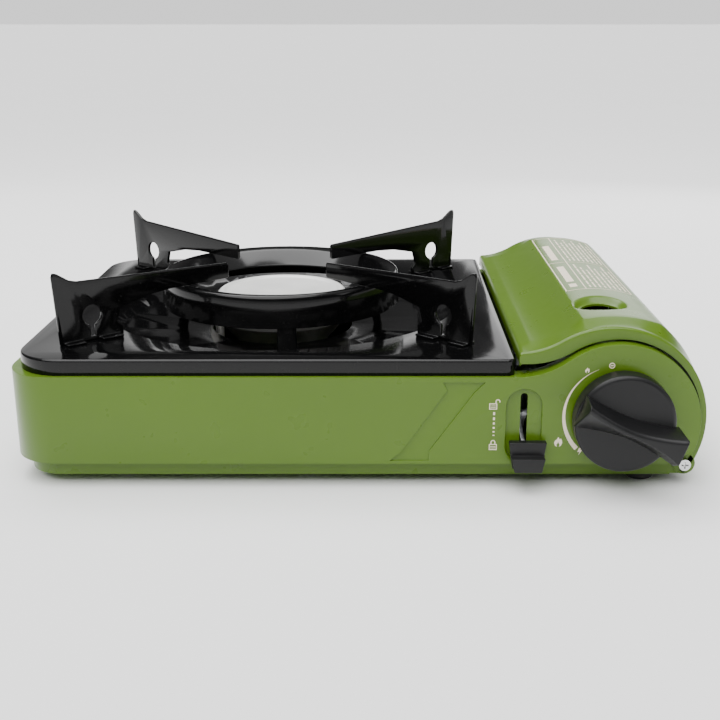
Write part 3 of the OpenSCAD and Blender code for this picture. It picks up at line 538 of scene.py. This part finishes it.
# %% Wind ring
ring_top = ring_high.z / MM
ring_base = ring_low.z / MM
wall = 1.2
ring_outline = rounded_loop([
    (ring_r, ring_base, 0.5), (ring_r, ring_top - 4.6, 2.0), (ring_r - 0.9, ring_top, 2.2),
    (ring_r - 7, ring_top - 0.4, 3.5), (ring_r - 20, ring_top - 8.2, 0.5),
    (ring_r - 20, ring_top - 9.2, 0.5), (ring_r - 7.2, ring_top - 0.4 - wall, 3.0),
    (ring_r - 2.0, ring_top - wall, 1.6), (ring_r - wall, ring_top - 5, 1.6),
    (ring_r - wall, ring_base, 0.5),
], steps=5)
ring = turned("wind_ring_pressed", ring_outline, burner_x, burner_y, 128)
place(ring, "top_plate", "black_enamel", "wind_ring")
rounded("ring_legs", "ring_legs_folded", "top_plate", "black_enamel", 0.4)

# %% [markdown]
# Four pot supports stand on the tray like fins. They are stamped from thick sheet, and their outer
# tips turn up to keep a pot from sliding off.

# %% Pot supports
for side in ("front_left", "front_right", "rear_left", "rear_right"):
    rounded("support_" + side, "pot_support_" + side, "top_plate", "black_enamel", 0.7, 3)

# %% [markdown]
# The burner's head has three turned pieces: a cast base, a ring with flame slots and a cap. The cap
# has a soft raised rim around a sunken bead-blasted face.

# %% Burner cap
cap_low, cap_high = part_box("burner_cap")
cap_top = cap_high.z / MM
cap_r = (cap_high.x - cap_low.x) / 2 / MM
cap_outline = rounded_loop([
    (0.0, cap_top - 1.1, 0), (cap_r - 5.4, cap_top - 1.1, 1.2), (cap_r - 4.2, cap_top, 1.0),
    (cap_r - 2.2, cap_top, 1.8), (cap_r, cap_top - 2.4, 1.6), (cap_r, cap_top - 5.0, 0.3),
    (cap_r - 3.6, cap_top - 5.0, 0.2), (cap_r - 3.6, cap_top - 8.0, 0.2),
    (cap_r - 6.0, cap_top - 8.0, 0.2), (cap_r - 6.0, cap_top - 3.0, 0.4), (0.0, cap_top - 3.0, 0),
], steps=4)
burner_cap = turned("burner_cap_turned", cap_outline, burner_x, burner_y, 96)
place(burner_cap, "stove_body", "burner_cap_steel", "burner_cap")
rounded("burner_port_ring", "burner_port_ring_cast", "stove_body", "burner_casting", 0.2, 1)

# %% [markdown]
# The knob is moulded plastic: a disc with a thin rim, and a grip that crosses it like a fin. The
# grip is waisted: its ridge is narrowest over the middle and widens to a tail and to a beak past
# the disc. Its upper side is steep and its lower side slopes away to the rim. The grip starts as a
# six-sided bar that is subdivided along its length, and each slice is then shaped.

# %% Knob disc
knob_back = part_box("control_knob")[1].y / MM
knob_r = 24.0
knob_turn = math.radians(-20)
disc_out, grip_out = 9.0, 24.0
bpy.ops.object.select_all(action="DESELECT")
bpy.ops.mesh.primitive_cylinder_add(vertices=128, radius=knob_r * MM, depth=disc_out * MM,
                                    location=(0, 0, disc_out / 2 * MM))
knob = bpy.context.object
bpy.ops.object.transform_apply(location=True, rotation=True, scale=True)
bpy.ops.object.mode_set(mode="EDIT")
pick(knob, "faces", lambda f: f.normal.z > 0.9)
bpy.ops.mesh.inset(thickness=1.6 * MM)
bpy.ops.transform.translate(value=(0, 0, 0.9 * MM))
pick(knob, "faces", lambda f: f.normal.z < -0.9)
bpy.ops.mesh.inset(thickness=2.0 * MM)
bpy.ops.transform.translate(value=(0, 0, 4.5 * MM))
bpy.ops.object.mode_set(mode="OBJECT")
apply_modifier(knob, "BEVEL", width=0.55 * MM, segments=3, limit_method="ANGLE",
               angle_limit=math.radians(25))

# %% Knob grip
SLICES = 26


def grip_slice(t):
    """Section of the grip at t, 0 at its tail and 1 at its beak, as (across, out) points."""
    end = abs(2 * t - 1) ** 1.7
    beak = max(0.0, 2 * t - 1) ** 1.2
    height = grip_out - 1.5 + 1.5 * end
    upper = 1.6 + 4.9 * end
    lower = -6.0 - 3.2 * end
    plateau = upper - 2.2 - (upper + 3.3) * beak
    foot_out = disc_out + 0.8 + (height - disc_out - 7.0) * beak
    return [(upper + 3.4 - 2.6 * end, disc_out - 2.0), (upper, height - 0.9), (upper - 1.6, height),
            (plateau - 0.8, height - 0.3), (lower, foot_out), (lower - 0.2, disc_out - 2.0)]


bpy.ops.object.select_all(action="DESELECT")
bpy.ops.mesh.primitive_cylinder_add(vertices=6, radius=0.008, depth=0.05, end_fill_type="NGON")
grip = bpy.context.object
bpy.ops.object.mode_set(mode="EDIT")
pick(grip, "edges", lambda e: abs(e.verts[0].co.z - e.verts[1].co.z) > 0.01)
bpy.ops.mesh.subdivide(number_cuts=SLICES - 1)
bpy.ops.object.mode_set(mode="OBJECT")
order = sorted(grip.data.vertices, key=lambda v: round(v.co.z, 6))
for k in range(SLICES + 1):
    ring_of_six = sorted(order[k * 6:k * 6 + 6], key=lambda v: math.atan2(v.co.y, v.co.x))
    t = k / SLICES
    along = -23.0 + 49.5 * t
    for vert, (across, out) in zip(ring_of_six, grip_slice(t)):
        trim = 0.0
        if t > 0.9:
            trim = (t - 0.9) * 16 * (1 if out < 14 else 0.1)
        vert.co = ((along - trim) * MM, across * MM, out * MM)
bpy.ops.object.mode_set(mode="EDIT")
bpy.ops.mesh.select_all(action="SELECT")
bpy.ops.mesh.normals_make_consistent(inside=False)
bpy.ops.object.mode_set(mode="OBJECT")
apply_modifier(grip, "BEVEL", width=0.7 * MM, segments=3, limit_method="ANGLE",
               angle_limit=math.radians(24))
grip.select_set(True)
knob.select_set(True)
bpy.context.view_layer.objects.active = knob
bpy.ops.object.join()
knob.matrix_world = (Matrix.Translation((knob_x * MM, knob_back * MM, knob_z * MM))
                     @ Matrix.Rotation(math.pi / 2, 4, "X") @ Matrix.Rotation(knob_turn, 4, "Z"))
settle(knob, "control_knob_moulded", 30)
place(knob, "knob", "black_plastic", "control_knob")

# %% [markdown]
# The other visible pieces keep the CAD's shape with their edges rounded.

# %% Small rounded pieces
rounded("lever_cap", "lever_cap_moulded", "lock_lever", "black_plastic", 0.7, 3)
rounded("lever_arm", "lever_arm_stamped", "lock_lever", "galvanised_steel", 0.25)
rounded("base_pan", "base_pan_pressed", "stove_body", "green_paint", 0.35)
for corner in ("front_left", "front_right", "rear_left", "rear_right"):
    rounded("foot_" + corner, "rubber_foot_" + corner, "stove_body", "black_rubber", 0.6, 3)

# %% [markdown]
# The control marks are printed in cream ink: locks beside the lever, and around the knob a flame,
# a spark, a stop mark and a tapering arc that shows how the heat grows. They are drawn as flat
# curves, filled and made a mesh a few hundredths of a millimetre thick, as a screen print is.

# %% Shapes for the print
def circle_points(cx, cz, r, count=40):
    return [(cx + r * math.cos(2 * math.pi * k / count), cz + r * math.sin(2 * math.pi * k / count))
            for k in range(count)]


def box_points(x0, z0, x1, z1):
    return [(x0, z0), (x1, z0), (x1, z1), (x0, z1)]


def flame_points(cx, cz, size):
    outline = [(0.0, 1.0), (0.22, 0.62), (0.38, 0.52), (0.46, 0.74), (0.66, 0.34), (0.72, -0.1),
               (0.55, -0.6), (0.2, -0.86), (0.3, -0.45), (0.12, -0.15), (-0.02, 0.1), (-0.1, -0.2),
               (-0.32, -0.45), (-0.2, -0.86), (-0.55, -0.6), (-0.72, -0.1), (-0.55, 0.3),
               (-0.2, 0.6)]
    return [(cx + x * size, cz + z * size) for x, z in outline]


def lock_shapes(cx, cz, opened):
    body = box_points(cx - 1.9, cz - 2.2, cx + 1.9, cz + 0.85)
    gap = box_points(cx - 1.5, cz - 1.8, cx + 1.5, cz + 0.45)
    rungs = [box_points(cx - 1.3, cz - 1.25 + 0.75 * k, cx + 1.3, cz - 1.0 + 0.75 * k)
             for k in range(2)]
    sx = cx + (2.2 if opened else 0.0)
    shackle, inner = [], []
    for k in range(17):
        a = math.pi * k / 16
        shackle.append((sx + 1.15 * math.cos(a), cz + 1.8 + 1.15 * math.sin(a)))
        inner.append((sx + 0.7 * math.cos(a), cz + 1.8 + 0.7 * math.sin(a)))
    right_z = cz + (1.4 if opened else 0.9)
    arch = ([(sx + 1.15, right_z)] + shackle + [(sx - 1.15, cz + 0.9), (sx - 0.7, cz + 0.9)]
            + list(reversed(inner)) + [(sx + 0.7, right_z)])
    return [body, gap] + rungs + [arch]


ARC_R, ARC_FROM, ARC_SWEEP, ARC_WIDTH = 24.8, 111.5, 112, 2.14
arc_x, arc_z = knob_x - 2.7, knob_z + 0.6


def heat_arc():
    """A wedge around the knob that widens from nothing to its full width."""
    outer, inner = [], []
    for k in range(49):
        t = k / 48
        a = math.radians(ARC_FROM + ARC_SWEEP * t)
        half = 0.03 + ARC_WIDTH / 2 * t
        for line, r in ((outer, ARC_R + half), (inner, ARC_R - half)):
            line.append((arc_x + r * math.cos(a), arc_z + r * math.sin(a)))
    return outer + list(reversed(inner))


shapes = lock_shapes(65.5, 43.2, True) + lock_shapes(65.9, 22.4, False)
for z, length in ((38.9, 1.5), (36.3, 1.4), (33.9, 1.1), (31.6, 0.9), (29.6, 0.7), (27.8, 0.5)):
    shapes.append(box_points(65.6, z - length / 2, 66.5, z + length / 2))
shapes += [circle_points(121.2, 63.0, 1.45), circle_points(121.2, 63.0, 1.0),
           box_points(120.5, 62.75, 121.9, 63.25)]
shapes += [flame_points(109.6, 60.6, 1.5), flame_points(97.4, 24.2, 2.7), heat_arc()]
shapes.append([(107.6, 21.2), (108.9, 21.5), (108.3, 20.2), (109.4, 20.4), (107.5, 17.6),
               (108.0, 19.3), (106.9, 19.1)])

# %% Printed marks
marks_curve = bpy.data.curves.new("control_marks", "CURVE")
marks_curve.dimensions = "2D"
marks_curve.fill_mode = "BOTH"
for points in shapes:
    line = marks_curve.splines.new("POLY")
    line.points.add(len(points) - 1)
    for spot, (x, z) in zip(line.points, points):
        spot.co = (x * MM, z * MM, 0, 1)
    line.use_cyclic_u = True
marks_curve.extrude = 0.02 * MM
marks = bpy.data.objects.new("control_marks", marks_curve)
bpy.context.scene.collection.objects.link(marks)
take(marks)
bpy.ops.object.convert(target="MESH")
marks = bpy.context.object
marks.matrix_world = (Matrix.Translation((0, (front - 0.02) * MM, 0))
                      @ Matrix.Rotation(math.pi / 2, 4, "X"))
settle(marks, "control_marks", 20)
place(marks, "stove_body", "white_ceramic")

# %% [markdown]
# The lid carries a printed panel: a thin border, two crossed rules and rows of short bars where
# lettering would stand. Each bar is a strip that follows the crown, a few hundredths above it.

# %% Printed panel on the lid
PANEL_X0, PANEL_X1, PANEL_Y0, PANEL_Y1 = 110.5, 145.7, -31.0, 110.0


def crown_height(x):
    return min(crown_arc(x), rim_z + math.sqrt(shoulder_r ** 2 - (x - shoulder_x) ** 2))


def printed_strip(verts, faces, x0, x1, y0, y1):
    steps = max(1, round((x1 - x0) / 1.0))
    first = len(verts)
    for k in range(steps + 1):
        x = x0 + (x1 - x0) * k / steps
        verts += [(x * MM, y * MM, (crown_height(x) + 0.05) * MM) for y in (y0, y1)]
    faces += [(k, k + 2, k + 3, k + 1) for k in range(first, first + 2 * steps, 2)]


panel_verts, panel_faces = [], []
line = 0.6
for x in (PANEL_X0, PANEL_X0 + 10.5, PANEL_X1 - line):
    printed_strip(panel_verts, panel_faces, x, x + line, PANEL_Y0, PANEL_Y1)
for y in (PANEL_Y0, PANEL_Y1 - line, 36.0):
    printed_strip(panel_verts, panel_faces, PANEL_X0 + line, PANEL_X1 - line, y, y + line)
for row in range(8):
    x = PANEL_X0 + 13.4 + row * 2.7
    for start, end in ((-27, 30 - 7 * (row % 3)), (40, 104 - 9 * (row % 2))):
        place_y, word = start, 0
        while place_y < end:
            length = 5.0 + 3.5 * ((row * 2 + word) % 3)
            printed_strip(panel_verts, panel_faces, x, x + 0.9, place_y, min(place_y + length, end))
            place_y += length + 1.6
            word += 1
for y0, y1 in ((-24, -17), (-12, 26), (44, 86)):
    printed_strip(panel_verts, panel_faces, PANEL_X0 + 3.4, PANEL_X0 + 7.4, y0, y1)
panel_mesh = bpy.data.meshes.new("lid_panel_print")
panel_mesh.from_pydata(panel_verts, [], panel_faces)
panel = bpy.data.objects.new("lid_panel_print", panel_mesh)
bpy.context.scene.collection.objects.link(panel)
apply_modifier(panel, "SOLIDIFY", thickness=0.04 * MM, offset=0.0)
settle(panel, "lid_panel_print", 20)
place(panel, "cartridge_lid", "white_ceramic")

# %% [markdown]
# Shader networks are easier to read as sums. This class wraps one socket, and Python's operators
# on it add the Math nodes. A method of the builder below adds any other node.

# %% Shader helper
class Wire:
    def __init__(self, tree, socket):
        self.tree, self.socket = tree, socket

    def _math(self, operation, first, second):
        node = self.tree.nodes.new("ShaderNodeMath")
        node.operation = operation
        for slot, value in zip(node.inputs, (first, second)):
            if isinstance(value, Wire):
                self.tree.links.new(value.socket, slot)
            else:
                slot.default_value = value
        return Wire(self.tree, node.outputs[0])

    def __add__(self, other): return self._math("ADD", self, other)
    def __radd__(self, other): return self._math("ADD", other, self)
    def __mul__(self, other): return self._math("MULTIPLY", self, other)
    def __rmul__(self, other): return self._math("MULTIPLY", other, self)
    def above(self, edge): return self._math("GREATER_THAN", self, edge)


class Finish:
    """A material with one principled shader; node() adds any other node."""
    def __init__(self, name, **constants):
        self.material = bpy.data.materials.new(name)
        self.material.use_nodes = True
        self.tree = self.material.node_tree
        self.shader = self.tree.nodes["Principled BSDF"]
        for socket, value in constants.items():
            self.shader.inputs[socket.replace("_", " ")].default_value = value

    def node(self, kind, settings=None, output=0, **inputs):
        node = self.tree.nodes.new(kind)
        for key, value in (settings or {}).items():
            if key == "stops":
                ramp = node.color_ramp
                while len(ramp.elements) < len(value):
                    ramp.elements.new(0.5)
                for element, (position, colour) in zip(ramp.elements, value):
                    element.position, element.color = position, colour
            else:
                setattr(node, key, value)
        for key, value in inputs.items():
            socket = node.inputs[key.replace("_", " ")]
            if isinstance(value, Wire):
                self.tree.links.new(value.socket, socket)
            else:
                socket.default_value = value
        return Wire(self.tree, node.outputs[output])

    def place(self):
        return self.node("ShaderNodeTexCoord", output=3)

    def noise(self, scale, detail=2.0, rough=0.5, stretch=None):
        vector = self.place()
        if stretch:
            vector = self.node("ShaderNodeMapping", Vector=vector, Scale=stretch)
        return self.node("ShaderNodeTexNoise", Vector=vector, Scale=scale, Detail=detail,
                         Roughness=rough)

    def blend(self, factor, a, b):
        node = self.tree.nodes.new("ShaderNodeMix")
        node.data_type = "RGBA"
        self.tree.links.new(factor.socket, node.inputs[0])
        for socket, value in ((node.inputs[6], a), (node.inputs[7], b)):
            if isinstance(value, Wire):
                self.tree.links.new(value.socket, socket)
            else:
                socket.default_value = (*value, 1)
        return Wire(self.tree, node.outputs[2])

    def bump(self, height, strength, distance):
        return self.node("ShaderNodeBump", Strength=strength, Distance=distance, Height=height)

    def drive(self, socket, wire):
        self.tree.links.new(wire.socket, self.shader.inputs[socket])


# %% [markdown]
# The paint is a satin powder coat. Its colour shifts a little over the panel, and its gloss is
# broken by a fine orange peel.

# %% Green paint
def green_paint():
    f = Finish("green_powder_coat", Coat_Weight=0.12, Coat_Roughness=0.08)
    f.shader.inputs["Specular IOR Level"].default_value = 0.30
    tone = f.noise(14, 3)
    f.drive("Base Color", f.blend(tone, (0.066, 0.130, 0.0060), (0.073, 0.141, 0.0072)))
    f.drive("Roughness", 0.24 + 0.10 * f.noise(90, 2))
    peel = f.noise(650, 2) + 0.6 * f.noise(240, 1)
    f.drive("Normal", f.bump(peel, 0.06, 0.00008))
    return f.material


# %% [markdown]
# Vitreous enamel is glass fused to steel, so it mirrors the studio almost perfectly. It is never
# quite flat: a slow ripple bends the reflections, and pin-prick pits and dust dull them.

# %% Black enamel
def black_enamel():
    f = Finish("black_vitreous_enamel")
    f.shader.inputs["Specular IOR Level"].default_value = 0.28
    dust = f.noise(900, 2).above(0.70)
    haze = f.noise(38, 3)
    base = f.blend(haze, (0.0015, 0.0015, 0.0016), (0.0030, 0.0030, 0.0032))
    f.drive("Base Color", f.blend(dust * 0.3, base, (0.03, 0.03, 0.029)))
    f.drive("Roughness", 0.06 + 0.10 * haze + 0.12 * dust)
    ripple = f.noise(34, 1) + 0.25 * f.noise(130, 2)
    f.drive("Normal", f.bump(ripple, 0.10, 0.0006))
    return f.material


# %% [markdown]
# The moulded plastic has a fine spark-eroded grain and is slightly greyer where it is handled.

# %% Moulded plastic, rubber and ink
def black_plastic():
    f = Finish("black_moulded_plastic")
    f.shader.inputs["Specular IOR Level"].default_value = 0.28
    handled = f.noise(30, 3)
    f.drive("Base Color", f.blend(handled, (0.0045, 0.0045, 0.0048), (0.0080, 0.0080, 0.0084)))
    f.drive("Roughness", 0.30 + 0.14 * handled)
    f.drive("Normal", f.bump(f.noise(2400, 2), 0.12, 0.00005))
    return f.material


def black_rubber():
    f = Finish("black_rubber")
    dust = f.noise(120, 3)
    f.drive("Base Color", f.blend(dust, (0.010, 0.010, 0.010), (0.028, 0.027, 0.026)))
    f.drive("Roughness", 0.62 + 0.2 * dust)
    f.drive("Normal", f.bump(f.noise(1500, 2), 0.2, 0.0001))
    return f.material


def cream_ink():
    f = Finish("cream_screen_print")
    wear = f.noise(500, 2)
    f.drive("Base Color", f.blend(wear, (0.70, 0.60, 0.47), (0.78, 0.69, 0.55)))
    f.drive("Roughness", 0.42 + 0.15 * wear)
    return f.material


# %% [markdown]
# The metals share one recipe: a brushed or cast grain in the roughness and the bump, and a slow
# change of tone. Their colours, gloss and grain differ.

# %% Metals
def metal(name, dark, light, rough, grain, stretch=None, bump=0.08):
    f = Finish(name, Metallic=1.0)
    streak = f.noise(grain, 3, 0.6, stretch)
    tone = f.noise(22, 3)
    f.drive("Base Color", f.blend(tone, dark, light))
    f.drive("Roughness", rough + 0.18 * streak)
    f.drive("Normal", f.bump(streak, bump, 0.0001))
    return f.material


def burner_face():
    """Bead-blasted steel, bleached by heat in uneven patches."""
    f = Finish("burner_cap_blasted", Metallic=0.35)
    heat = f.noise(60, 3)
    grit = f.noise(1400, 2)
    f.drive("Base Color", f.blend(heat, (0.56, 0.56, 0.55), (0.74, 0.74, 0.72)))
    f.drive("Roughness", 0.40 + 0.25 * grit)
    f.drive("Normal", f.bump(grit, 0.35, 0.0002))
    return f.material


def plain(name, dark, light, rough, scale=80):
    f = Finish(name)
    tone = f.noise(scale, 3)
    f.drive("Base Color", f.blend(tone, dark, light))
    f.drive("Roughness", rough + 0.15 * tone)
    f.drive("Normal", f.bump(f.noise(scale * 9, 2), 0.1, 0.0001))
    return f.material


# %% [markdown]
# Each node's slot in the record chooses its finish, so a piece made here and a hidden CAD piece of
# the same stuff always agree.

# %% Give every piece its finish
finishes = {
    "green_paint": green_paint(),
    "black_enamel": black_enamel(),
    "galvanised_steel": metal("galvanised_sheet", (0.36, 0.37, 0.38), (0.50, 0.51, 0.52),
                              0.30, 160, (1, 6, 1)),
    "screw_steel": metal("plated_screw_steel", (0.62, 0.62, 0.62), (0.78, 0.78, 0.77), 0.14, 400),
    "black_rubber": black_rubber(),
    "black_plastic": black_plastic(),
    "zinc_casting": metal("zinc_casting", (0.34, 0.34, 0.33), (0.46, 0.46, 0.45),
                          0.42, 700, None, 0.25),
    "brass": metal("turned_brass", (0.50, 0.34, 0.12), (0.66, 0.47, 0.19), 0.22, 300, (1, 8, 1)),
    "burner_casting": metal("burner_casting", (0.30, 0.29, 0.28), (0.44, 0.43, 0.42),
                            0.45, 600, None, 0.25),
    "burner_cap_steel": burner_face(),
    "igniter_plastic": plain("igniter_plastic", (0.16, 0.012, 0.012), (0.24, 0.02, 0.02), 0.35),
    "wire_sleeve": plain("wire_sleeve", (0.22, 0.22, 0.22), (0.30, 0.30, 0.30), 0.55, 300),
    "white_ceramic": plain("glazed_ceramic", (0.72, 0.71, 0.67), (0.82, 0.81, 0.77), 0.18, 120),
}
ink = cream_ink()


def dress(obj, material):
    obj.data.materials.clear()
    obj.data.materials.append(material)


slots = {part["node"]: part["material_slot"] for part in frame["record"]["subparts"]}
for name, obj in frame["nodes"].items():
    dress(obj, finishes[slots[name]])
for obj in bpy.context.scene.objects:
    if obj.type == "MESH" and "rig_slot" in obj and obj.name not in frame["nodes"]:
        dress(obj, finishes[obj["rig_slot"]])
dress(marks, ink)
dress(panel, ink)
print("finishes given to", len(slots), "nodes")

# %% [markdown]
# The studio is a wide pale floor under one very broad overhead light, with small soft boxes that
# put streaks in the enamel. The room is dark at mid height, so that black enamel stays black, and
# bright at the horizon and overhead.

# %% Floor and lights
bpy.ops.object.select_all(action="DESELECT")
FLOOR_SIZE, FLOOR_Y = 60, 20.0
bpy.ops.mesh.primitive_plane_add(size=FLOOR_SIZE, location=(0, FLOOR_Y, 0))
floor = bpy.context.object
floor.name = "studio_floor"
floor_paint = Finish("studio_floor", Roughness=0.9)
patches = floor_paint.noise(3, 2)
floor_paint.drive("Base Color",
                  floor_paint.blend(patches, (0.86, 0.86, 0.86), (0.88, 0.88, 0.88)))
dress(floor, floor_paint.material)

world = bpy.data.worlds.new("studio")
bpy.context.scene.world = world
world.use_nodes = True
sky = world.node_tree
direction = sky.nodes.new("ShaderNodeTexCoord")
split = sky.nodes.new("ShaderNodeSeparateXYZ")
shade = sky.nodes.new("ShaderNodeValToRGB")
sky.links.new(direction.outputs["Generated"], split.inputs[0])
sky.links.new(split.outputs["Z"], shade.inputs[0])
sky.links.new(shade.outputs[0], sky.nodes["Background"].inputs["Color"])
SKY_STOPS = ((0.0, 0.9), (0.05, 0.9), (0.12, 0.10), (0.5, 0.06), (0.75, 0.4), (1.0, 0.9))
while len(shade.color_ramp.elements) < len(SKY_STOPS):
    shade.color_ramp.elements.new(0.5)
for stop, (position, level) in zip(shade.color_ramp.elements, SKY_STOPS):
    stop.position, stop.color = position, (level, level, level, 1)
sky.nodes["Background"].inputs["Strength"].default_value = 1.3

bpy.ops.object.light_add(type="SUN", rotation=(math.radians(24), math.radians(-10), 0))
sun = bpy.context.object
sun.name = "wide_overhead_light"
sun.data.angle = math.radians(70)
sun.data.energy = 5.0


def soft_box(name, location, aim, size_x, size_y, watts):
    bpy.ops.object.light_add(type="AREA", location=location)
    lamp = bpy.context.object
    lamp.name = name
    lamp.data.shape = "RECTANGLE"
    lamp.data.size, lamp.data.size_y = size_x, size_y
    lamp.data.energy = watts
    lamp.rotation_euler = (Vector(aim) - Vector(location)).to_track_quat("-Z", "Y").to_euler()
    return lamp


soft_box("overhead_box", (-0.25, 0.45, 1.1), (0, 0, 0.05), 0.9, 0.5, 9)
soft_box("right_box", (1.5, -0.4, 0.8), (0.1, 0, 0.05), 0.7, 0.7, 3)
for name, x, width, watts in (("rear_card_right", 0.38, 0.46, 1.6),
                              ("rear_card_left", -0.60, 0.40, 0.5)):
    card = soft_box(name, (x, 0.80, 0.40), (x * 0.4, 0, 0.07), width, 0.5, watts)
    card.visible_camera = False
print("studio ready")
